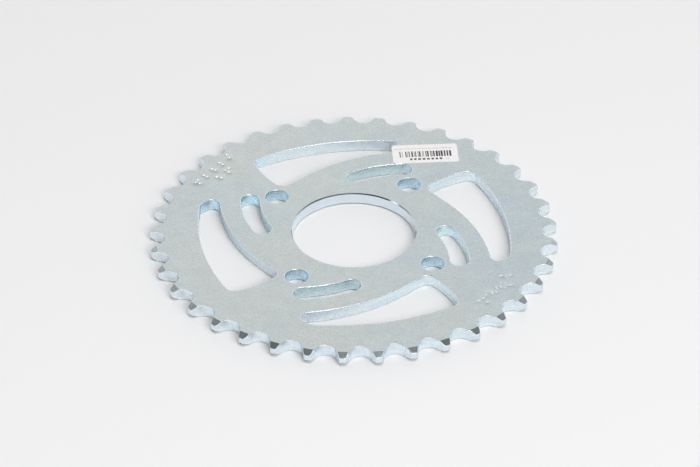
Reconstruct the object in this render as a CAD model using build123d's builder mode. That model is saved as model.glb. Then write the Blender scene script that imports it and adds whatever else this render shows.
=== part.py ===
"""Rear sprocket of a small motorcycle: 37 teeth for a 520 roller chain.

The sprocket is one flat steel plate, blanked, punched and bevelled, with a
centre bore, four bolt holes, four swirl windows and four short curved slots.
A printed paper sticker lies on its upper face.

Millimetres. Origin on the bore axis at mid thickness, which is the chain line.
+Z runs along the bore towards the face that carries the sticker.
The plate has fourfold symmetry in its web, and one tooth gap lies on +X.
"""

from build123d import *
import os
from math import cos, degrees, pi, radians, sin

# --- chain and toothing -------------------------------------------------------
TEETH = 37
CHAIN_PITCH = 15.875            # 5/8 inch, the 520 chain
ROLLER_DIAMETER = 10.16
PITCH_RADIUS = CHAIN_PITCH / (2 * sin(pi / TEETH))       # 93.59
SEAT_RADIUS = 0.505 * ROLLER_DIAMETER + 0.05             # roller seat, 5.18
SEAT_ANGLE = 130.0              # arc of the seat that hugs the roller, degrees
FLANK_RADIUS = 60.0             # convex flank above the seat
FLANK_LENGTH = 13.0             # run of the flank cutter, past the tip
TIP_RADIUS = 95.7
TIP_CORNER_RADIUS = 1.0         # round where flank meets tip
BEVEL_START_RADIUS = 92.75      # both faces slope away outside this radius
BEVEL_DROP = 1.6                # per face, at the tip

# --- plate --------------------------------------------------------------------
THICKNESS = 5.9
BORE_RADIUS = 29.0
BOLT_CIRCLE_DIAMETER = 90.0
BOLT_HOLE_RADIUS = 5.5
BOLT_COUNT = 4
BOLT_START_ANGLE = 45.0
EDGE_BREAK = 0.3                # small chamfer round holes, windows and slots, both faces
BORE_BREAK = 0.5                # wider chamfer of the turned bore

# --- swirl window, the first of four, centred near +Y -------------------------
WINDOW_COUNT = 4
WIN_TIP_LEFT = (-38.59, 63.72)      # sharp corners, before rounding
WIN_TIP_RIGHT = (31.67, 68.36)
WIN_TOE_RIGHT = (37.46, 58.99)
WIN_HEEL = (-27.83, 38.64)
WIN_OUTER_MID = (-3.84, 71.81)      # outer edge bows outwards
WIN_INNER_MID = (11.85, 57.85)      # inner edge, tight half
WIN_INNER_JOIN = (-12.14, 48.81)    # inner edge eases off from here on
WIN_LEFT_MID = (-35.19, 50.33)      # short left edge bows outwards too
WIN_ROUND_TIP_LEFT = 4.3
WIN_ROUND_TIP_RIGHT = 4.5
WIN_ROUND_TOE_RIGHT = 3.5
WIN_ROUND_HEEL = 4.7

# --- curved slot, the first of four -------------------------------------------
SLOT_CENTRE = (25.03, -7.65)        # centre of the arc that the slot follows
SLOT_ARC_RADIUS = 52.78
SLOT_HALF_WIDTH = 4.4
SLOT_START_ANGLE = 83.44
SLOT_END_ANGLE = 108.98

# --- sticker ------------------------------------------------------------------
LABEL_LENGTH = 31.7
LABEL_WIDTH = 15.1
LABEL_THICKNESS = 0.12
LABEL_CORNER = 1.5
LABEL_CENTRE = (43.95, 55.85)
LABEL_TURN = -5.4                   # degrees about +Z

os.makedirs("parts", exist_ok=True)

mid_plane_down = Plane.XY.offset(-THICKNESS / 2)
half_seat = radians(SEAT_ANGLE / 2)

# One tooth gap on +X: a roller seat with a convex flank tangent to each end.
flank_centre = (
    PITCH_RADIUS - (SEAT_RADIUS + FLANK_RADIUS) * cos(half_seat),
    (SEAT_RADIUS + FLANK_RADIUS) * sin(half_seat),
)
with BuildSketch() as tooth_gap:
    with BuildLine():
        seat = CenterArc(
            (PITCH_RADIUS, 0), SEAT_RADIUS, 180 - SEAT_ANGLE / 2, SEAT_ANGLE
        )
        flank = CenterArc(
            flank_centre,
            FLANK_RADIUS,
            -SEAT_ANGLE / 2,
            degrees(FLANK_LENGTH / FLANK_RADIUS),
        )
        other_flank = mirror(flank, about=Plane.XZ)
        Line(flank @ 1, ((flank @ 1).X, -(flank @ 1).Y))
    make_face()

# One swirl window: a long outer edge, a blunt right end, an inner edge in two
# tangent arcs and a short bowed left edge.
with BuildSketch() as window:
    with BuildLine():
        outer_edge = ThreePointArc(WIN_TIP_LEFT, WIN_OUTER_MID, WIN_TIP_RIGHT)
        right_end = Line(WIN_TIP_RIGHT, WIN_TOE_RIGHT)
        inner_tight = ThreePointArc(WIN_TOE_RIGHT, WIN_INNER_MID, WIN_INNER_JOIN)
        inner_easy = TangentArc(
            WIN_INNER_JOIN, WIN_HEEL, tangent=inner_tight % 1
        )
        left_edge = ThreePointArc(WIN_HEEL, WIN_LEFT_MID, WIN_TIP_LEFT)
    make_face()
    corner = window.vertices()
    fillet(corner.sort_by_distance(Vector(*WIN_TIP_LEFT))[0], WIN_ROUND_TIP_LEFT)
    corner = window.vertices()
    fillet(corner.sort_by_distance(Vector(*WIN_TIP_RIGHT))[0], WIN_ROUND_TIP_RIGHT)
    corner = window.vertices()
    fillet(corner.sort_by_distance(Vector(*WIN_TOE_RIGHT))[0], WIN_ROUND_TOE_RIGHT)
    corner = window.vertices()
    fillet(corner.sort_by_distance(Vector(*WIN_HEEL))[0], WIN_ROUND_HEEL)

# One curved slot with full round ends.
slot_path = CenterArc(
    SLOT_CENTRE,
    SLOT_ARC_RADIUS,
    SLOT_START_ANGLE,
    SLOT_END_ANGLE - SLOT_START_ANGLE,
)
with BuildSketch() as slot:
    SlotArc(slot_path, 2 * SLOT_HALF_WIDTH)

# --- the sprocket: plate, toothing, bore, bolt holes, windows and slots --------
with BuildPart() as sprocket_plate:
    # blank with 37 tooth gaps and rounded tip corners
    with BuildSketch(mid_plane_down) as blank:
        Circle(TIP_RADIUS)
        with PolarLocations(0, TEETH):
            add(tooth_gap.sketch, mode=Mode.SUBTRACT)
        tips = ShapeList(
            v for v in blank.vertices() if Vector(v.X, v.Y, 0).length > TIP_RADIUS - 0.01
        )
        fillet(tips, TIP_CORNER_RADIUS)
    extrude(amount=THICKNESS)

    # bevel both faces towards the tooth tips
    with BuildSketch(Plane.XZ):
        with BuildLine():
            Polyline(
                (0, -THICKNESS / 2),
                (BEVEL_START_RADIUS, -THICKNESS / 2),
                (TIP_RADIUS, -THICKNESS / 2 + BEVEL_DROP),
                (TIP_RADIUS, THICKNESS / 2 - BEVEL_DROP),
                (BEVEL_START_RADIUS, THICKNESS / 2),
                (0, THICKNESS / 2),
                close=True,
            )
        make_face()
    revolve(axis=Axis.Z, mode=Mode.INTERSECT)

    # centre bore and bolt holes
    Hole(BORE_RADIUS)
    with PolarLocations(BOLT_CIRCLE_DIAMETER / 2, BOLT_COUNT, BOLT_START_ANGLE):
        Hole(BOLT_HOLE_RADIUS)

    # swirl windows and curved slots
    with BuildSketch(mid_plane_down):
        with PolarLocations(0, WINDOW_COUNT):
            add(window.sketch)
            add(slot.sketch)
    extrude(amount=THICKNESS, mode=Mode.SUBTRACT)

    # broken edges round every opening
    rims = ShapeList()
    for face in sprocket_plate.faces().filter_by(Axis.Z):
        for rim in face.inner_wires():
            rims.extend(rim.edges())
    bore_rims = rims.filter_by(GeomType.CIRCLE).filter_by(
        lambda rim: abs(rim.radius - BORE_RADIUS) < 0.01
    )
    chamfer([rim for rim in rims if rim not in bore_rims], EDGE_BREAK)
    bore_rims = sprocket_plate.edges().filter_by(GeomType.CIRCLE).filter_by(
        lambda rim: abs(rim.radius - BORE_RADIUS) < 0.01
    )
    chamfer(bore_rims, BORE_BREAK)

sprocket_plate.part.label = "sprocket_plate"
export_step(sprocket_plate.part, "parts/sprocket_plate.step")

# --- the sticker on the upper face ----------------------------------------------
label_plane = Plane(
    origin=(LABEL_CENTRE[0], LABEL_CENTRE[1], THICKNESS / 2),
    x_dir=(cos(radians(LABEL_TURN)), sin(radians(LABEL_TURN)), 0),
    z_dir=(0, 0, 1),
)
with BuildPart() as barcode_label:
    with BuildSketch(label_plane):
        RectangleRounded(LABEL_LENGTH, LABEL_WIDTH, LABEL_CORNER)
    extrude(amount=LABEL_THICKNESS)

barcode_label.part.label = "barcode_label"
export_step(barcode_label.part, "parts/barcode_label.step")
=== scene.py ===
"""Rear sprocket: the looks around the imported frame. Lengths in the tables are millimetres."""

import math
import random

import bpy
import numpy as np
from mathutils import Matrix, Vector, noise
from mathutils.geometry import delaunay_2d_cdt


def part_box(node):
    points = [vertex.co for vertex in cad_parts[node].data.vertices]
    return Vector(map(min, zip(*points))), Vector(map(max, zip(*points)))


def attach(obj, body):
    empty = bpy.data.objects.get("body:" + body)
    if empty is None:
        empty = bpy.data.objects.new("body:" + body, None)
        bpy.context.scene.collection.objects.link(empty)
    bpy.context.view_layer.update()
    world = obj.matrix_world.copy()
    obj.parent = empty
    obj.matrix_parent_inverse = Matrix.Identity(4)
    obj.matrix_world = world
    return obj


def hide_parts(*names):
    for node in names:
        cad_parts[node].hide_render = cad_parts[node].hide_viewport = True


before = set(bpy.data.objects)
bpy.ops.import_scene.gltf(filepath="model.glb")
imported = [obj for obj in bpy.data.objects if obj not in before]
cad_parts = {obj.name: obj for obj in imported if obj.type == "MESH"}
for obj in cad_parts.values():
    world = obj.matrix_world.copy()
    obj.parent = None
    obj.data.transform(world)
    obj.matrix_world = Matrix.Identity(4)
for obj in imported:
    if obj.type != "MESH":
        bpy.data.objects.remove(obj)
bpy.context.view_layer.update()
MM = 0.001

# ----------------------------------------------------------------------------
# sizes
# ----------------------------------------------------------------------------
low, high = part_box("sprocket_plate")
HALF = high.z / MM                      # half the plate's thickness
TEETH = 37
PITCH_R = 15.875 / (2 * math.sin(math.pi / TEETH))
SEAT_R = 0.505 * 10.16 + 0.05
SEAT_HALF = math.radians(65)
FLANK_R = 60.0
TIP_R = 95.7
TIP_CORNER_R = 1.0                      # round where flank meets tip
BEVEL_R = 92.75
BEVEL_DROP = 1.6
BORE_R = 29.0
HOLE_R = 5.5
HOLE_CIRCLE = 45.0
BORE_BREAK = 0.5                        # chamfer of the turned bore
HOLD = 0.7                              # flat band kept beside every rounded edge

# One window and one slot, anticlockwise round the void: (cx, cy, r, from, to) or a line.
WINDOW = [
    (-33.8886, 60.9535, 4.3000, 110.65, 189.85),
    (5.5061, 67.7902, 44.2835, 189.85, 215.03),
    (-26.9050, 45.0663, 4.7000, 215.03, 304.67),
    (69.4711, -94.2855, 164.7322, 124.67, 119.70),
    (28.2340, -21.9810, 81.4949, 119.70, 88.21),
    (30.8847, 62.9726, 3.5000, 268.21, 391.71),
    ("line", 33.8622, 64.8124, 32.6230, 66.8177),
    (28.7949, 64.4522, 4.5000, 31.71, 76.09),
    (3.4121, -38.0189, 110.0680, 76.09, 110.65),
]
SLOT = [
    (7.8639, 42.2605, 4.4000, 108.98, 288.98),
    (25.0300, -7.6500, 48.3800, 108.98, 83.44),
    (31.0598, 44.7844, 4.4000, 263.44, 443.44),
    (25.0300, -7.6500, 57.1800, 83.44, 108.98),
]


# ----------------------------------------------------------------------------
# outlines: points, unit normals towards the void, running length
# ----------------------------------------------------------------------------
def run_arcs(arcs, step):
    pts, tan = [], []
    for a in arcs:
        if a[0] == "line":
            p, q = np.array(a[1:3]), np.array(a[3:5])
            length = np.hypot(*(q - p))
            n = max(2, math.ceil(length / step))
            for i in range(n):
                pts.append(p + (q - p) * i / n)
                tan.append((q - p) / length)
            continue
        cx, cy, r, a0, a1 = a[:5]
        a0, a1 = math.radians(a0), math.radians(a1)
        n = max(2, math.ceil(abs(a1 - a0) * r / step))
        stops = list(np.linspace(a0, a1, n + 1)[:-1])
        if len(a) > 5:                  # one more point exactly here
            stops.append(math.radians(a[5]))
            stops.sort(reverse=a1 < a0)
        sign = 1.0 if a1 > a0 else -1.0
        for t in stops:
            pts.append(np.array([cx + r * math.cos(t), cy + r * math.sin(t)]))
            tan.append(sign * np.array([-math.sin(t), math.cos(t)]))
    return np.array(pts), np.array(tan)


class Outline:
    def __init__(self, pts, tan, hole):
        self.p = pts
        left = np.c_[-tan[:, 1], tan[:, 0]]
        self.n = left if hole else -left
        self.hole = hole
        step = np.hypot(*(np.roll(pts, -1, 0) - pts).T)
        self.s = np.r_[0, np.cumsum(step)[:-1]]
        self.length = step.sum()


def turned(pts, tan, degrees_):
    a = math.radians(degrees_)
    m = np.array([[math.cos(a), math.sin(a)], [-math.sin(a), math.cos(a)]])
    return pts @ m, tan @ m


def two_circles(c0, r0, c1, r1):
    c0, c1 = np.array(c0, float), np.array(c1, float)
    d = np.hypot(*(c1 - c0))
    a = (r0 * r0 - r1 * r1 + d * d) / (2 * d)
    h = math.sqrt(r0 * r0 - a * a)
    u = (c1 - c0) / d
    w = np.array([-u[1], u[0]])
    both = [c0 + a * u + h * w, c0 + a * u - h * w]
    return min(both, key=lambda q: abs(q[1]) if q[0] > 0 else 1e9)


def angle_of(v):
    return math.degrees(math.atan2(v[1], v[0]))


flank_c = np.array([
    PITCH_R - (SEAT_R + FLANK_R) * math.cos(SEAT_HALF),
    (SEAT_R + FLANK_R) * math.sin(SEAT_HALF),
])
corner_c = two_circles((0, 0), TIP_R - TIP_CORNER_R, flank_c, FLANK_R - TIP_CORNER_R)
flank_end = angle_of(corner_c - flank_c)
tip_start = angle_of(corner_c)
ridge = angle_of(two_circles((0, 0), BEVEL_R, flank_c, FLANK_R - HOLD) - flank_c)
half_pitch = 180.0 / TEETH
seat_deg = math.degrees(SEAT_HALF)
TOOTH = [                                # from one tooth's middle to the next
    (0, 0, TIP_R, -half_pitch, -tip_start),
    (corner_c[0], -corner_c[1], TIP_CORNER_R, -tip_start, -flank_end),
    (flank_c[0], -flank_c[1], FLANK_R, -flank_end, seat_deg, -ridge),
    (PITCH_R, 0, SEAT_R, 180 + seat_deg, 180 - seat_deg),
    (flank_c[0], flank_c[1], FLANK_R, -seat_deg, flank_end, ridge),
    (corner_c[0], corner_c[1], TIP_CORNER_R, flank_end, tip_start),
    (0, 0, TIP_R, tip_start, half_pitch),
]

STEP = 0.55
tooth_p, tooth_t = run_arcs(TOOTH, STEP)
rim = [turned(tooth_p, tooth_t, 360.0 * k / TEETH) for k in range(TEETH)]
rim = Outline(np.concatenate([r[0] for r in rim]), np.concatenate([r[1] for r in rim]), hole=False)

openings = []                            # (outline, kind)
window_p, window_t = run_arcs(WINDOW, STEP)
slot_p, slot_t = run_arcs(SLOT, STEP)
for k in range(4):
    openings.append((Outline(*turned(window_p, window_t, 90 * k), hole=True), "window"))
    openings.append((Outline(*turned(slot_p, slot_t, 90 * k), hole=True), "slot"))
    bolt = math.radians(45 + 90 * k)
    hole_arc = [(HOLE_CIRCLE * math.cos(bolt), HOLE_CIRCLE * math.sin(bolt), HOLE_R, 0, 360)]
    openings.append((Outline(*run_arcs(hole_arc, 0.5), hole=True), "hole"))
openings.append((Outline(*run_arcs([(0, 0, BORE_R, 0, 360)], 0.6), hole=True), "bore"))


# ----------------------------------------------------------------------------
# plate mesh
# ----------------------------------------------------------------------------
def top_z(x, y):
    r = np.hypot(x, y)
    return HALF - BEVEL_DROP * np.clip((r - BEVEL_R) / (TIP_R - BEVEL_R), 0, 1)


def n3(x, y, z, seed=0.0):
    return noise.noise(Vector((x + 17.3 * seed, y - 9.1 * seed, z + 3.7 * seed)))


FACE, WALL, BEVEL, TURNED, RIM, SLOT_WALL, HOLE_WALL, CHAMFER, MARK_SPARKLE, GAP_WALL = range(10)   # material slots of the plate
verts, faces, face_mat, sharp = [], [], [], set()


def add_vert(x, y, z):
    verts.append((x, y, z))
    return len(verts) - 1


def stack(outline, kind):
    """Rings from the upper face, down the wall, to the lower face. Returns the two end rings."""
    n = len(outline.p)
    # how ragged the cut is, and how far its edge is rounded over
    rag = {"rim": 0.012, "window": 0.06, "slot": 0.05, "hole": 0.015, "bore": 0.0}[kind]
    tear = {"rim": 0.03, "window": 0.11, "slot": 0.10, "hole": 0.04, "bore": 0.0}[kind]
    soft = {"rim": 0.15, "window": 0.36, "slot": 0.36, "hole": 0.34, "bore": BORE_BREAK}[kind]
    uneven = {"rim": 0.03, "window": 0.11, "slot": 0.10, "hole": 0.05, "bore": 0.0}[kind]
    rounds = 2 if kind == "bore" else 5
    wall_rows = {"rim": 6, "window": 10, "slot": 10, "hole": 6, "bore": 4}[kind]
    turn = 2 * math.pi / outline.length
    loop_r = outline.length / (2 * math.pi)
    cols = []
    for i in range(n):
        p, nv = outline.p[i], outline.n[i]
        a = outline.s[i] * turn
        # place on a circle of the outline's own length, so the noise closes on itself
        u, v = loop_r * math.cos(a), loop_r * math.sin(a)
        sheared = -0.4 + 1.6 * n3(u * 0.06, v * 0.06, 0.0, 6.0)      # below here the punched wall is torn
        col = []
        for side in (1, -1):
            e = soft + uneven * n3(u * 0.9, v * 0.9, side * 5.0, 1.0) + 0.5 * uneven * n3(u * 2.3, v * 2.3, side * 9.0, 2.0)
            rows = []
            q = p - nv * HOLD
            rows.append((q, top_z(*q)))
            q = p - nv * e
            rows.append((q, top_z(*q)))
            if kind == "bore":
                rows.append((p, top_z(*p) - e))
            else:
                for j in range(1, rounds + 1):
                    t = 0.5 * math.pi * j / rounds
                    q = p - nv * e * (1 - math.sin(t))
                    rows.append((q, top_z(*q) - e * (1 - math.cos(t))))
            col.append([(q[0], q[1], side * z) for q, z in rows])
        up, down = col[0], col[1][::-1]
        z0, z1 = up[-1][2], down[0][2]
        wall = []
        for j in range(1, wall_rows):
            z = z0 + (z1 - z0) * j / wall_rows
            d = 0.0
            if rag:
                fade = min(1.0, 4 * min(j, wall_rows - j) / wall_rows)
                d = tear * (1 - math.exp(-max(0.0, sheared - z) / 0.5)) * min(1.0, 3 * (wall_rows - j) / wall_rows)
                d += rag * fade * (
                    n3(u * 0.13, v * 0.13, z * 0.8, 3.0)
                    + 0.35 * n3(u * 0.8, v * 0.8, z * 0.5, 4.0)
                    + (0.8 if z < sheared else 0.1) * n3(u * 0.9, v * 0.9, z * 1.6, 5.0)
                )
            q = p - nv * d
            wall.append((q[0], q[1], z))
        cols.append(up + wall + down)
    rows = len(cols[0])
    base = len(verts)
    for col in cols:
        for x, y, z in col:
            verts.append((x, y, z))
    edge_rows = 2 + (1 if kind == "bore" else rounds)
    for i in range(n):
        k = (i + 1) % n
        for j in range(rows - 1):
            a, b = base + i * rows + j, base + i * rows + j + 1
            c, d = base + k * rows + j + 1, base + k * rows + j
            faces.append((a, b, c, d) if not outline.hole else (d, c, b, a))
            flat = j == 0 or j == rows - 2
            if flat:
                mx = 0.5 * (verts[a][0] + verts[d][0])
                my = 0.5 * (verts[a][1] + verts[d][1])
                face_mat.append(BEVEL if math.hypot(mx, my) > BEVEL_R else FACE)
            elif kind == "bore":
                face_mat.append(CHAMFER if j in (1, rows - 3) else TURNED)
            elif j < edge_rows - 2 or j > rows - edge_rows:
                face_mat.append(RIM)
            else:
                face_mat.append({"slot": SLOT_WALL, "hole": HOLE_WALL, "rim": GAP_WALL}.get(kind, WALL))
        if kind == "bore":
            for j in (1, 2, rows - 2, rows - 3):
                sharp.add(frozenset((base + i * rows + j, base + k * rows + j)))
    top = [base + i * rows for i in range(n)]
    bottom = [base + i * rows + rows - 1 for i in range(n)]
    # the ridge between face and bevel is crisp where it crosses the flat band
    if kind == "rim":
        for i in range(n):
            x, y, _ = verts[top[i]]
            if abs(math.hypot(x, y) - BEVEL_R) < 1e-4:
                sharp.add(frozenset((top[i], top[i] + 1)))
                sharp.add(frozenset((bottom[i], bottom[i] - 1)))
    return top, bottom


def ring_inside(points, poly):
    """Which points are inside the closed polygon."""
    x, y = points[:, 0][:, None], points[:, 1][:, None]
    x0, y0 = poly[:, 0][None], poly[:, 1][None]
    x1, y1 = np.roll(poly[:, 0], -1)[None], np.roll(poly[:, 1], -1)[None]
    hit = ((y0 > y) != (y1 > y)) & (x < (x1 - x0) * (y - y0) / np.where(y1 == y0, 1e-12, y1 - y0) + x0)
    return hit.sum(1) % 2 == 1


rim_rings = stack(rim, "rim")
opening_rings = [stack(o, kind) for o, kind in openings]

# Stamped marks on the upper face: a generic row of dots, and faint short strokes.
# (x, y, half length, half width, turn in degrees, depth)
DOTS = [
    (-50.7, 69.7), (-49.8, 67.3), (-55.1, 63.8), (-53.7, 62.3), (-59.4, 59.2), (-57.9, 58.1),
    (-63.8, 54.7), (-62.4, 53.3), (-68.4, 49.4), (-67.0, 51.0), (-66.5, 48.3), (-53.3, 57.0),
    (-51.4, 58.7), (-51.7, 55.4), (-57.8, 52.4), (-55.8, 51.3),
]
STROKES = [
    (50.0, -61.7, 1.6, 30), (51.8, -59.3, 1.2, 62), (47.6, -63.3, 1.4, 16), (51.3, -64.9, 1.1, -24),
    (53.3, -57.3, 0.9, -18), (54.8, -57.9, 2.4, -90), (56.6, -57.9, 0.8, -32), (57.5, -54.7, 2.9, -78),
    (59.3, -54.1, 2.0, -76), (60.1, -51.4, 0.9, -84), (61.2, -55.2, 0.8, -49), (64.0, -53.8, 2.2, -9),
    (61.3, -46.1, 2.0, 27), (63.6, -47.0, 1.6, -58), (65.6, -46.2, 1.0, -90),
]
rng = random.Random(7)
pits = [(x, y, 0.48 + 0.12 * rng.random(), 0.42 + 0.1 * rng.random(), rng.uniform(0, 180), 0.34) for x, y in DOTS]
pits += [(x, y, length / 2, 0.20, turn, 0.06) for x, y, length, turn in STROKES]


def pit_ring(pit, scale, z, count):
    x, y, a, b, turn, _ = pit
    t = math.radians(turn)
    out = []
    for i in range(count):
        s = 2 * math.pi * i / count
        # grow by the same distance all round, so long strokes stay slim
        grow = (scale - 1) * b
        px, py = (a + grow) * math.cos(s), (b + grow) * math.sin(s)
        out.append(add_vert(x + px * math.cos(t) - py * math.sin(t), y + px * math.sin(t) + py * math.cos(t), z))
    return out


pit_rings = []
for pit in pits:
    deep = pit[5]
    count = 20 if deep > 0.1 else 12
    lip = 0.06 if deep > 0.1 else 0.016
    rings = [
        pit_ring(pit, 1.35, HALF, count),
        pit_ring(pit, 1.15, HALF + lip, count),
        pit_ring(pit, 1.0, HALF, count),
        pit_ring(pit, 0.65, HALF - 0.75 * deep, count),
        pit_ring(pit, 0.35, HALF - 0.96 * deep, count),
    ]
    for r0, r1 in zip(rings, rings[1:]):
        for i in range(count):
            k = (i + 1) % count
            faces.append((r0[i], r0[k], r1[k], r1[i]))
            # the pit faces carry the painted sparkle colour
            face_mat.append(MARK_SPARKLE)
    centre = add_vert(pit[0], pit[1], HALF - deep)
    for i in range(count):
        faces.append((rings[-1][i], rings[-1][(i + 1) % count], centre))
        face_mat.append(MARK_SPARKLE)
    pit_rings.append(rings[0])


def cap(rings, extra, side):
    """Fills one face between the outer ring and the holes, with the ridge arcs as creases."""
    index = [v for ring in rings for v in ring]
    flat = [Vector((verts[v][0], verts[v][1])) for v in index]
    edges, start = [], 0
    for ring in rings:
        m = len(ring)
        edges += [(start + i, start + (i + 1) % m) for i in range(m)]
        start += m
    polys, at = [], 0
    for ring in rings:
        polys.append(np.array([[verts[v][0], verts[v][1]] for v in ring]))
    # ridge arcs, one for each tooth, between points of the outer ring at the bevel radius
    on_ridge = [i for i, v in enumerate(rings[0]) if abs(math.hypot(verts[v][0], verts[v][1]) - BEVEL_R) < 1e-4]
    on_ridge.sort(key=lambda i: math.atan2(verts[rings[0][i]][1], verts[rings[0][i]][0]) % (2 * math.pi))
    angles = [math.atan2(verts[rings[0][i]][1], verts[rings[0][i]][0]) % (2 * math.pi) for i in on_ridge]
    arcs = []
    for m in range(len(on_ridge)):
        i, k = on_ridge[m], on_ridge[(m + 1) % len(on_ridge)]
        a0, a1 = angles[m], angles[(m + 1) % len(on_ridge)]
        if a1 < a0:
            a1 += 2 * math.pi
        mid = math.degrees((a0 + a1) / 2) / (360.0 / TEETH)
        if abs(mid - math.floor(mid) - 0.5) > 0.25:      # this one spans a gap, not a tooth
            continue
        chain = [i]
        for j in range(1, 6):
            a = a0 + (a1 - a0) * j / 6
            v = add_vert(BEVEL_R * math.cos(a), BEVEL_R * math.sin(a), side * HALF)
            index.append(v)
            flat.append(Vector((verts[v][0], verts[v][1])))
            chain.append(len(flat) - 1)
        chain.append(k)
        arcs.append(chain)
        edges += list(zip(chain, chain[1:]))
    # inner points on a triangular grid keep the triangles even
    pitch = 2.6
    grid = []
    rows_ = int(2 * 92 / (pitch * 0.866)) + 1
    for r in range(rows_):
        y = -92 + r * pitch * 0.866
        for c in range(int(2 * 92 / pitch) + 1):
            grid.append((-92 + c * pitch + (pitch / 2 if r % 2 else 0), y))
    grid = np.array(grid)
    keep = ring_inside(grid, polys[0])
    for poly in polys[1:]:
        keep &= ~ring_inside(grid, poly)
    grid = grid[keep]
    near = np.concatenate(polys)
    far = np.ones(len(grid), bool)
    for i0 in range(0, len(grid), 400):
        d = np.hypot(grid[i0:i0 + 400, None, 0] - near[None, :, 0], grid[i0:i0 + 400, None, 1] - near[None, :, 1])
        far[i0:i0 + 400] = d.min(1) > 1.2
    far &= np.hypot(grid[:, 0], grid[:, 1]) < BEVEL_R - 0.8
    for x, y in grid[far]:
        v = add_vert(float(x), float(y), side * HALF)
        index.append(v)
        flat.append(Vector((verts[v][0], verts[v][1])))
    out_v, _, out_f, orig_v, _, _ = delaunay_2d_cdt(flat, edges, [], 0, 1e-7, True)
    back = [o[0] if o else None for o in orig_v]
    tri = np.array([[back[a] for a in f] for f in out_f if len(f) == 3 and all(back[a] is not None for a in f)])
    co = np.array([[p.x, p.y] for p in flat])
    mid = co[tri].mean(1)
    keep = ring_inside(mid, polys[0])
    for poly in polys[1:]:
        keep &= ~ring_inside(mid, poly)
    for t, m in zip(tri[keep], mid[keep]):
        a, b, c = (index[i] for i in t)
        pa, pb, pc = co[t[0]], co[t[1]], co[t[2]]
        ccw = (pb[0] - pa[0]) * (pc[1] - pa[1]) - (pb[1] - pa[1]) * (pc[0] - pa[0]) > 0
        faces.append((a, b, c) if ccw == (side > 0) else (c, b, a))
        face_mat.append(BEVEL if math.hypot(*m) > BEVEL_R else FACE)
    for chain in arcs:
        for i, k in zip(chain, chain[1:]):
            sharp.add(frozenset((index[i], index[k])))


cap([rim_rings[0]] + [r[0] for r in opening_rings] + pit_rings, None, 1)
cap([rim_rings[1]] + [r[1] for r in opening_rings], None, -1)


def make_object(name, points, polys, materials, mat_index=None, sharp_edges=(), smooth=True):
    mesh = bpy.data.meshes.new(name)
    mesh.from_pydata([(x * MM, y * MM, z * MM) for x, y, z in points], [], polys)
    for m in materials:
        mesh.materials.append(m)
    if mat_index is not None:
        mesh.polygons.foreach_set("material_index", np.array(mat_index, np.int32))
    mesh.polygons.foreach_set("use_smooth", np.full(len(mesh.polygons), smooth))
    if sharp_edges:
        flag = np.zeros(len(mesh.edges), bool)
        for e in mesh.edges:
            if frozenset(e.vertices) in sharp_edges:
                flag[e.index] = True
        layer = mesh.attributes.new("sharp_edge", "BOOLEAN", "EDGE")
        layer.data.foreach_set("value", flag)
    mesh.validate()
    mesh.update()
    ob = bpy.data.objects.new(name, mesh)
    bpy.context.scene.collection.objects.link(ob)
    return ob


# ----------------------------------------------------------------------------
# materials
# ----------------------------------------------------------------------------
def material(name):
    m = bpy.data.materials.new(name)
    m.use_nodes = True
    nodes, links = m.node_tree.nodes, m.node_tree.links
    nodes.clear()
    out = nodes.new("ShaderNodeOutputMaterial")
    shader = nodes.new("ShaderNodeBsdfPrincipled")
    links.new(shader.outputs[0], out.inputs[0])
    return m, nodes, links, shader


def place(nodes, links, scale=(1, 1, 1)):
    """Object coordinates in millimetres, stretched by scale."""
    tc = nodes.new("ShaderNodeTexCoord")
    mp = nodes.new("ShaderNodeMapping")
    mp.inputs["Scale"].default_value = tuple(1000.0 * s for s in scale)
    links.new(tc.outputs["Object"], mp.inputs["Vector"])
    return mp.outputs["Vector"]


def noise_node(nodes, links, vector, scale, detail=2.0, rough=0.5):
    t = nodes.new("ShaderNodeTexNoise")
    t.inputs["Scale"].default_value = scale
    t.inputs["Detail"].default_value = detail
    t.inputs["Roughness"].default_value = rough
    links.new(vector, t.inputs["Vector"])
    return t.outputs["Fac"]


def ramp(nodes, links, value, stops):
    r = nodes.new("ShaderNodeValToRGB")
    while len(r.color_ramp.elements) < len(stops):
        r.color_ramp.elements.new(0.5)
    for e, (pos, col) in zip(r.color_ramp.elements, stops):
        e.position = pos
        e.color = col if len(col) == 4 else (*col, 1.0)
    links.new(value, r.inputs["Fac"])
    return r.outputs["Color"]


def mixed(nodes, links, fac, a, b, mode="MIX"):
    x = nodes.new("ShaderNodeMix")
    x.data_type = "RGBA"
    x.blend_type = mode
    for socket, value in ((x.inputs["Factor"], fac), (x.inputs["A"], a), (x.inputs["B"], b)):
        if isinstance(value, (int, float)):
            socket.default_value = value
        elif isinstance(value, tuple):
            socket.default_value = (*value, 1.0) if len(value) == 3 else value
        else:
            links.new(value, socket)
    return x.outputs["Result"]


def span(nodes, links, value, lo, hi):
    m = nodes.new("ShaderNodeMapRange")
    m.inputs["To Min"].default_value = lo
    m.inputs["To Max"].default_value = hi
    m.inputs["From Min"].default_value = 0.3
    m.inputs["From Max"].default_value = 0.7
    links.new(value, m.inputs["Value"])
    return m.outputs["Result"]


def bump(nodes, links, height, distance, strength, before=None):
    b = nodes.new("ShaderNodeBump")
    b.inputs["Distance"].default_value = distance
    b.inputs["Strength"].default_value = strength
    links.new(height, b.inputs["Height"])
    if before is not None:
        links.new(before, b.inputs["Normal"])
    return b.outputs["Normal"]


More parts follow.
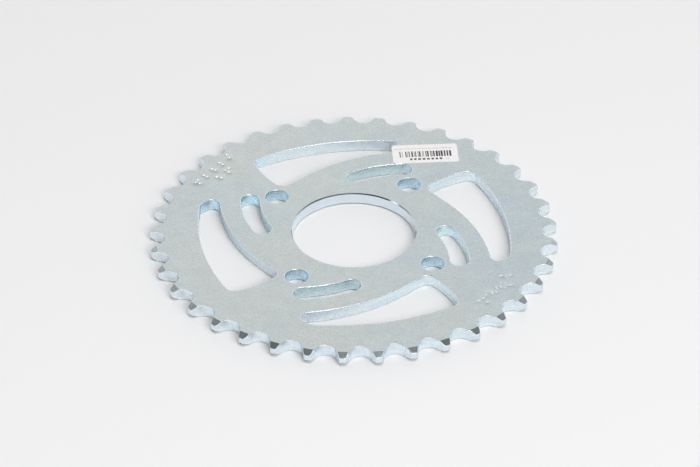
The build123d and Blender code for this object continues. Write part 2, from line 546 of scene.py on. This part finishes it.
def zinc_face():
    m, nodes, links, sh = material("zinc_face")
    at = place(nodes, links)
    broad = noise_node(nodes, links, at, 0.022, 2.0, 0.5)
    patch = noise_node(nodes, links, at, 0.16, 3.0, 0.6)
    grain = noise_node(nodes, links, at, 1.25, 2.0, 0.6)
    fine = noise_node(nodes, links, at, 3.2, 1.0, 0.5)
    base = ramp(nodes, links, broad, [(0.35, (0.706, 0.760, 0.738)), (0.65, (0.676, 0.750, 0.760))])
    across = nodes.new("ShaderNodeSeparateXYZ")
    links.new(place(nodes, links, (0.005, 0.005, 0.005)), across.inputs[0])
    cool = ramp(nodes, links, across.outputs["X"], [(0.0, (1.0, 1.0, 1.0)), (0.45, (0.925, 0.955, 0.985))])
    base = mixed(nodes, links, 1.0, base, cool, "MULTIPLY")
    cloudy = ramp(nodes, links, patch, [(0.30, (0.945, 0.95, 0.955)), (0.70, (1.035, 1.03, 1.025))])
    speck = ramp(nodes, links, grain, [(0.30, (0.87, 0.865, 0.87)), (0.70, (1.12, 1.12, 1.11))])
    base = mixed(nodes, links, 1.0, base, cloudy, "MULTIPLY")
    base = mixed(nodes, links, 1.0, base, speck, "MULTIPLY")
    links.new(base, sh.inputs["Base Color"])
    links.new(span(nodes, links, grain, 0.33, 0.47), sh.inputs["Roughness"])
    n = bump(nodes, links, grain, 0.00010, 0.55)
    n = bump(nodes, links, fine, 0.00003, 0.5, n)
    n = bump(nodes, links, patch, 0.0002, 0.25, n)
    links.new(n, sh.inputs["Normal"])
    sh.inputs["Metallic"].default_value = 1.0
    return m


def zinc_wall(name, dark, light, edge, west_shade=1.0):
    m, nodes, links, sh = material(name)
    at = place(nodes, links)
    along = place(nodes, links, (0.10, 0.10, 1.0))
    band = noise_node(nodes, links, along, 0.55, 2.0, 0.55)
    patch = noise_node(nodes, links, at, 0.30, 3.0, 0.6)
    grain = noise_node(nodes, links, at, 1.8, 2.0, 0.6)
    base = ramp(nodes, links, patch, [(0.30, dark), (0.70, light)])
    lines = ramp(nodes, links, band, [(0.34, (0.93, 0.945, 0.95)), (0.62, (1.02, 1.015, 1.01))])
    base = mixed(nodes, links, 1.0, base, lines, "MULTIPLY")
    if west_shade < 1.0:                       # painted shade: towards -X the walls are darkened, and bluer at the far ends, standing in for the shade and blue repeated reflections inside the openings there
        across = nodes.new("ShaderNodeSeparateXYZ")
        links.new(place(nodes, links, (0.01, 0.01, 0.01)), across.inputs[0])
        shifts = []
        for axis in ("X", "Y"):
            shift = nodes.new("ShaderNodeMapRange")
            shift.inputs["From Min"].default_value = -1.0
            shift.inputs["From Max"].default_value = 1.0
            links.new(across.outputs[axis], shift.inputs["Value"])
            shifts.append(shift.outputs["Result"])
        west_shade_tone = ramp(nodes, links, shifts[0], [(0.30, (west_shade, west_shade, west_shade)), (0.36, (1.0, 1.0, 1.0))])
        end_bounce_blue = ramp(nodes, links, shifts[0], [(0.30, (0.86, 0.96, 1.0)), (0.36, (1.0, 1.0, 1.0))])
        end = ramp(nodes, links, shifts[1], [(0.63, (0.0, 0.0, 0.0)), (0.648, (1.0, 1.0, 1.0))])
        base = mixed(nodes, links, 1.0, base, mixed(nodes, links, end, west_shade_tone, end_bounce_blue), "MULTIPLY")
    links.new(base, sh.inputs["Base Color"])
    links.new(span(nodes, links, patch, 0.22, 0.36), sh.inputs["Roughness"])
    n = bump(nodes, links, band, 0.00009, 0.45)
    n = bump(nodes, links, grain, 0.00004, 0.4, n)
    links.new(n, sh.inputs["Normal"])
    sh.inputs["Metallic"].default_value = 1.0
    sh.inputs["Specular Tint"].default_value = (*edge, 1.0)      # colour seen along the surface
    return m


def zinc_rim():
    m, nodes, links, sh = material("zinc_rim")
    at = place(nodes, links)
    patch = noise_node(nodes, links, at, 0.6, 3.0, 0.6)
    grain = noise_node(nodes, links, at, 1.6, 2.0, 0.6)
    # lighter base and a partly diffuse finish on the rounded edges: painted brightening of their white highlights
    base = ramp(nodes, links, patch, [(0.30, (0.80, 0.855, 0.865)), (0.70, (0.89, 0.93, 0.935))])
    links.new(base, sh.inputs["Base Color"])
    links.new(span(nodes, links, grain, 0.22, 0.32), sh.inputs["Roughness"])
    links.new(bump(nodes, links, grain, 0.00007, 0.5), sh.inputs["Normal"])
    sh.inputs["Metallic"].default_value = 0.65
    return m


def zinc_bevel(name, rough, depth):
    m, nodes, links, sh = material(name)
    at = place(nodes, links)
    patch = noise_node(nodes, links, at, 0.5, 3.0, 0.6)
    grain = noise_node(nodes, links, at, 1.6, 2.0, 0.6)
    base = ramp(nodes, links, patch, [(0.30, (0.52, 0.60, 0.622)), (0.70, (0.615, 0.70, 0.725))])
    links.new(base, sh.inputs["Base Color"])
    links.new(span(nodes, links, grain, *rough), sh.inputs["Roughness"])
    links.new(bump(nodes, links, grain, depth, 0.4), sh.inputs["Normal"])
    sh.inputs["Metallic"].default_value = 1.0
    sh.inputs["Specular Tint"].default_value = (1.0, 0.96, 1.0, 1.0)
    return m


def sparkle_mark():
    """Stamped marks in a near-white, partly diffuse colour: painted sparkle highlights in the pits."""
    m, nodes, links, sh = material("sparkle_mark")
    at = place(nodes, links)
    grain = noise_node(nodes, links, at, 2.4, 2.0, 0.6)
    links.new(ramp(nodes, links, grain, [(0.30, (0.90, 0.92, 0.92)), (0.70, (0.98, 0.985, 0.98))]), sh.inputs["Base Color"])
    links.new(span(nodes, links, grain, 0.18, 0.32), sh.inputs["Roughness"])
    links.new(bump(nodes, links, grain, 0.00006, 0.5), sh.inputs["Normal"])
    sh.inputs["Metallic"].default_value = 0.2
    sh.inputs["Specular IOR Level"].default_value = 1.0
    return m


def zinc_turned():
    m, nodes, links, sh = material("zinc_turned")
    at = place(nodes, links)
    ring_at = place(nodes, links, (0.15, 0.15, 1))
    lines = noise_node(nodes, links, ring_at, 5.0, 2.0, 0.5)
    patch = noise_node(nodes, links, at, 0.3, 3.0, 0.6)
    base = ramp(nodes, links, patch, [(0.30, (0.760, 0.860, 0.930)), (0.70, (0.830, 0.905, 0.955))])
    links.new(base, sh.inputs["Base Color"])
    links.new(span(nodes, links, patch, 0.16, 0.26), sh.inputs["Roughness"])
    links.new(bump(nodes, links, lines, 0.00002, 0.4), sh.inputs["Normal"])
    sh.inputs["Metallic"].default_value = 1.0
    return m


plate = make_object(
    "sprocket_body", verts, faces,
    [
        zinc_face(),
        # the last number of the window and slot walls sets their painted shade towards -X
        zinc_wall("zinc_wall", (0.790, 0.895, 0.955), (0.855, 0.945, 0.980), (0.76, 0.83, 0.89), 0.88),
        zinc_bevel("zinc_bevel", (0.12, 0.20), 0.00004),
        zinc_turned(),
        zinc_rim(),
        zinc_wall("zinc_slot_wall", (0.735, 0.915, 0.985), (0.860, 0.980, 1.000), (0.82, 0.87, 0.92), 0.76),
        zinc_wall("zinc_hole_wall", (0.620, 0.825, 0.945), (0.755, 0.920, 0.995), (0.84, 0.88, 0.93)),
        zinc_bevel("zinc_chamfer", (0.07, 0.11), 0.00001),
        sparkle_mark(),
        zinc_wall("zinc_gap_wall", (0.800, 0.885, 0.935), (0.850, 0.925, 0.965), (0.76, 0.81, 0.865)),
    ],
    face_mat, sharp,
)
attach(plate, "root")
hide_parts("sprocket_plate")

# ----------------------------------------------------------------------------
# sticker: paper with printed bars and dashes, no lettering
# ----------------------------------------------------------------------------
LAB_L, LAB_W, LAB_R = 31.7, 15.1, 1.5
LAB_C, LAB_TURN = (43.95, 55.85), math.radians(-5.4)
lab_lo, lab_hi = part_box("barcode_label")
LAB_Z0, LAB_Z1 = lab_lo.z / MM, lab_hi.z / MM


def on_label(u, v, z=0.0):
    """Label coordinates, from its middle, to the row frame. The upper side waves slightly."""
    c, s = math.cos(LAB_TURN), math.sin(LAB_TURN)
    wave = 0.025 * (1 + math.sin(u * 0.55 + 0.8) * math.sin(v * 0.35 + 0.4)) if z > LAB_Z0 + 0.02 else 0.0
    return (LAB_C[0] + u * c - v * s, LAB_C[1] + u * s + v * c, z + wave)


def label_mesh():
    pts, polys, mats = [], [], []
    # rings shrink from the rounded outline to the middle line
    outline = []
    for cx, cy, a0 in ((LAB_L / 2 - LAB_R, LAB_W / 2 - LAB_R, 0), (-LAB_L / 2 + LAB_R, LAB_W / 2 - LAB_R, 90),
                       (-LAB_L / 2 + LAB_R, -LAB_W / 2 + LAB_R, 180), (LAB_L / 2 - LAB_R, -LAB_W / 2 + LAB_R, 270)):
        for i in range(7):
            a = math.radians(a0 + 15 * i)
            outline.append((cx + LAB_R * math.cos(a), cy + LAB_R * math.sin(a)))
    dense = []
    for i, p in enumerate(outline):
        q = outline[(i + 1) % len(outline)]
        n = max(1, round(math.hypot(q[0] - p[0], q[1] - p[1]) / 1.0))
        dense += [(p[0] + (q[0] - p[0]) * j / n, p[1] + (q[1] - p[1]) * j / n) for j in range(n)]
    inner = []
    for r in range(-6, 7):
        for c in range(-15, 16):
            x, y = c * 1.0 + (0.5 if r % 2 else 0), r * 1.05
            if abs(x) < LAB_L / 2 - 0.7 and abs(y) < LAB_W / 2 - 0.7:
                inner.append((x, y))
    flat = [Vector(p) for p in dense + inner]
    edges = [(i, (i + 1) % len(dense)) for i in range(len(dense))]
    out_v, _, out_f, orig, _, _ = delaunay_2d_cdt(flat, edges, [], 1, 1e-7, True)
    n = len(out_v)
    for z in (LAB_Z1, LAB_Z0):
        pts += [on_label(p.x, p.y, z) for p in out_v]
    for f in out_f:
        a, b, c = (out_v[i] for i in f)
        ccw = (b.x - a.x) * (c.y - a.y) - (b.y - a.y) * (c.x - a.x) > 0
        f = list(f) if ccw else list(f)[::-1]
        polys.append(tuple(f))
        polys.append(tuple(i + n for i in f[::-1]))
    where = {o[0]: i for i, o in enumerate(orig) if o}
    for i in range(len(dense)):
        a, b = where[i], where[(i + 1) % len(dense)]
        polys.append((a, a + n, b + n, b))
    return pts, polys


def paper():
    m, nodes, links, sh = material("sticker_paper")
    at = place(nodes, links)
    fibre = noise_node(nodes, links, at, 1.1, 4.0, 0.6)
    stain = noise_node(nodes, links, at, 0.12, 2.0, 0.5)
    base = ramp(nodes, links, fibre, [(0.30, (0.85, 0.84, 0.833)), (0.70, (0.905, 0.895, 0.888))])
    tint = ramp(nodes, links, stain, [(0.35, (1.0, 0.985, 0.985)), (0.65, (1.0, 1.0, 1.0))])
    links.new(mixed(nodes, links, 1.0, base, tint, "MULTIPLY"), sh.inputs["Base Color"])
    links.new(span(nodes, links, fibre, 0.42, 0.56), sh.inputs["Roughness"])
    links.new(bump(nodes, links, fibre, 0.00003, 0.4), sh.inputs["Normal"])
    sh.inputs["Specular IOR Level"].default_value = 0.4
    return m


def ink(name, dark, light):
    m, nodes, links, sh = material(name)
    at = place(nodes, links)
    worn = noise_node(nodes, links, at, 1.8, 3.0, 0.6)
    links.new(ramp(nodes, links, worn, [(0.35, dark), (0.75, light)]), sh.inputs["Base Color"])
    links.new(span(nodes, links, worn, 0.45, 0.6), sh.inputs["Roughness"])
    return m


label_pts, label_polys = label_mesh()
label = make_object("sticker_sheet", label_pts, label_polys, [paper()], smooth=False)
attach(label, "root")
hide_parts("barcode_label")


def printed(name, rects, mat, lift=0.012):
    """Flat printed rectangles (u0, u1, v0, v1) just above the paper, cut every 1 mm so they follow it."""
    pts, polys = [], []
    for u0, u1, v0, v1 in rects:
        nu = max(1, math.ceil((u1 - u0) / 1.0))
        nv = max(1, math.ceil((v1 - v0) / 1.0))
        start = len(pts)
        for i in range(nu + 1):
            for j in range(nv + 1):
                u, v = u0 + (u1 - u0) * i / nu, v0 + (v1 - v0) * j / nv
                pts.append(on_label(u, v, LAB_Z1 + lift))
        for i in range(nu):
            for j in range(nv):
                a = start + i * (nv + 1) + j
                polys.append((a, a + nv + 1, a + nv + 2, a + 1))
    ob = make_object(name, pts, polys, [mat], smooth=False)
    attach(ob, "root")
    return ob


rng = random.Random(23)
bars, at_u = [(-12.4, -11.9, -2.7, 2.0), (-11.2, -11.0, -2.7, 2.0)], -9.6
while at_u < 12.2:
    wide = rng.choice([0.25, 0.25, 0.5, 0.5, 0.75, 1.0])
    gap = rng.choice([0.3, 0.3, 0.55, 0.8])
    bars.append((at_u, min(at_u + wide, 12.6), -2.7, 2.0))
    at_u += wide + gap
printed("printed_bars", bars, ink("ink_black", (0.035, 0.035, 0.037), (0.09, 0.09, 0.09)))
dashes, at_u = [], -14.4
while at_u < 13.0:
    wide = rng.uniform(0.35, 1.3)
    dashes.append((at_u, at_u + wide, 3.9, 4.5))
    at_u += wide + rng.uniform(0.25, 0.55)
dashes += [(9.6, 10.1, -5.0, -4.4), (10.5, 11.3, -5.0, -4.4)]
printed("printed_dashes", dashes, ink("ink_grey", (0.44, 0.43, 0.43), (0.60, 0.58, 0.58)))
blocks, at_u = [], -7.6
for i in range(8):
    wide = rng.uniform(1.05, 1.45)
    blocks.append((at_u, at_u + wide, -5.3, -3.8))
    at_u += wide + 0.85
printed("printed_blocks", blocks, ink("ink_dark", (0.06, 0.06, 0.062), (0.13, 0.13, 0.13)))

# ----------------------------------------------------------------------------
# floor, light and camera
# ----------------------------------------------------------------------------
bpy.ops.mesh.primitive_plane_add(size=8.0, location=(0, 0, low.z - 0.00025))
floor = bpy.context.object
floor.name = "floor"
fm, fn, fl, fs = material("floor_paper")
fs.inputs["Base Color"].default_value = (0.86, 0.86, 0.865, 1)
fs.inputs["Roughness"].default_value = 0.8
fs.inputs["Specular IOR Level"].default_value = 0.2
floor.data.materials.append(fm)

FAR = math.radians(80.7)                 # the way the camera looks, seen from above


def direction(az_from_far, elevation):
    a, e = FAR + math.radians(az_from_far), math.radians(elevation)
    return Vector((math.cos(a) * math.cos(e), math.sin(a) * math.cos(e), math.sin(e)))


world = bpy.data.worlds.new("studio")
bpy.context.scene.world = world
world.use_nodes = True
wn, wl = world.node_tree.nodes, world.node_tree.links
wn.clear()
w_out = wn.new("ShaderNodeOutputWorld")
w_bg = wn.new("ShaderNodeBackground")
w_tc = wn.new("ShaderNodeTexCoord")


def towards(vec):
    d = wn.new("ShaderNodeVectorMath")
    d.operation = "DOT_PRODUCT"
    wl.new(w_tc.outputs["Generated"], d.inputs[0])
    d.inputs[1].default_value = tuple(vec)
    return d.outputs["Value"]


def w_ramp(value, stops):
    m = wn.new("ShaderNodeMapRange")
    m.inputs["From Min"].default_value = -1.0
    m.inputs["From Max"].default_value = 1.0
    wl.new(value, m.inputs["Value"])
    return ramp(wn, wl, m.outputs["Result"], stops)


def cos01(angle):
    return (math.cos(math.radians(angle)) + 1) / 2


def grey(*stops):
    return [(cos01(angle), (level, level, level * 1.004)) for angle, level in stops]


def added(a, b):
    return mixed(wn, wl, 1.0, a, b, "ADD")


# a bright paper sweep behind the part under a dark ceiling, a wide pale wall in front and a small panel on the left
sweep = w_ramp(towards(direction(0, -31)), grey(
    (150, 0.09), (121, 0.10), (111, 0.24), (104, 0.30), (98, 0.40), (91, 0.46), (85, 0.58), (79, 0.78), (72, 0.93)))
front = w_ramp(towards(direction(-156, 10)), grey((60, 0.0), (42, 0.14), (34, 0.8), (26, 1.05), (12, 1.12)))
left = w_ramp(towards(direction(97, 38)), grey((8, 0.0), (5.5, 1.0), (4, 1.4)))
ceiling = w_ramp(towards(direction(-170, 82)), grey((36, 0.0), (30, 0.02), (22, 0.05), (14, 0.13), (6.5, 0.24), (1, 0.28)))
# two flags, left and right of the sweep, keep its edges off the bevels
for side in (direction(42, 31), direction(-41, 31)):
    flag = w_ramp(towards(side), grey((15, 1.0), (7, 0.62)))
    sweep = mixed(wn, wl, 1.0, sweep, flag, "MULTIPLY")
wl.new(added(added(added(sweep, front), left), ceiling), w_bg.inputs["Color"])
w_bg.inputs["Strength"].default_value = 1.0
# seen straight on by the camera the studio is plain and pale
w_plain = wn.new("ShaderNodeBackground")
w_plain.inputs["Color"].default_value = (0.86, 0.86, 0.865, 1)
w_path = wn.new("ShaderNodeLightPath")
w_mix = wn.new("ShaderNodeMixShader")
wl.new(w_path.outputs["Is Camera Ray"], w_mix.inputs["Fac"])
wl.new(w_bg.outputs[0], w_mix.inputs[1])
wl.new(w_plain.outputs[0], w_mix.inputs[2])
wl.new(w_mix.outputs[0], w_out.inputs["Surface"])


def softbox(name, az, elevation, distance, size, power, lights=True, mirrored=False):
    d = direction(az, elevation)
    data = bpy.data.lights.new(name, "AREA")
    data.shape = "RECTANGLE"
    data.size, data.size_y = size
    data.energy = power
    ob = bpy.data.objects.new(name, data)
    ob.location = d * distance
    ob.rotation_euler = (-d).to_track_quat("-Z", "Y").to_euler()
    ob.visible_diffuse = lights
    ob.visible_glossy = mirrored         # the metal mirrors the studio, and of the lamps only the strip
    bpy.context.scene.collection.objects.link(ob)
    return ob


softbox("top", -160, 80, 2.5, (1.1, 1.1), 18.0)
softbox("key", -134, 57, 2.8, (1.6, 1.3), 12.8)
softbox("low", -156, 34, 2.8, (1.7, 0.6), 24.4)
softbox("strip", -153, 66, 2.8, (0.9, 0.45), 21.0, lights=False, mirrored=True)

# the camera stands where the picture was taken
cam_data = bpy.data.cameras.new("camera")
cam_data.sensor_width = 36.0
cam_data.lens = 183.19
cam_data.clip_start, cam_data.clip_end = 0.05, 50.0
camera = bpy.data.objects.new("camera", cam_data)
ROT = (
    (0.98726278, -0.15908342, 0.00216102),
    (-0.09250851, -0.58504747, -0.80570568),
    (0.12943871, 0.79524331, -0.59231216),
)
SHIFT = (1.780, -1.826, 1670.36)
right, down, forward = (Vector(r) for r in ROT)
eye = -(right * SHIFT[0] + down * SHIFT[1] + forward * SHIFT[2]) * MM
eye.z += high.z                          # the fit was made from the upper face
m = Matrix((
    (right.x, -down.x, -forward.x, eye.x),
    (right.y, -down.y, -forward.y, eye.y),
    (right.z, -down.z, -forward.z, eye.z),
    (0, 0, 0, 1),
))
camera.matrix_world = m
bpy.context.scene.collection.objects.link(camera)
bpy.context.scene.camera = camera

view = bpy.context.scene.view_settings
view.view_transform = "Standard"
view.look = "None"
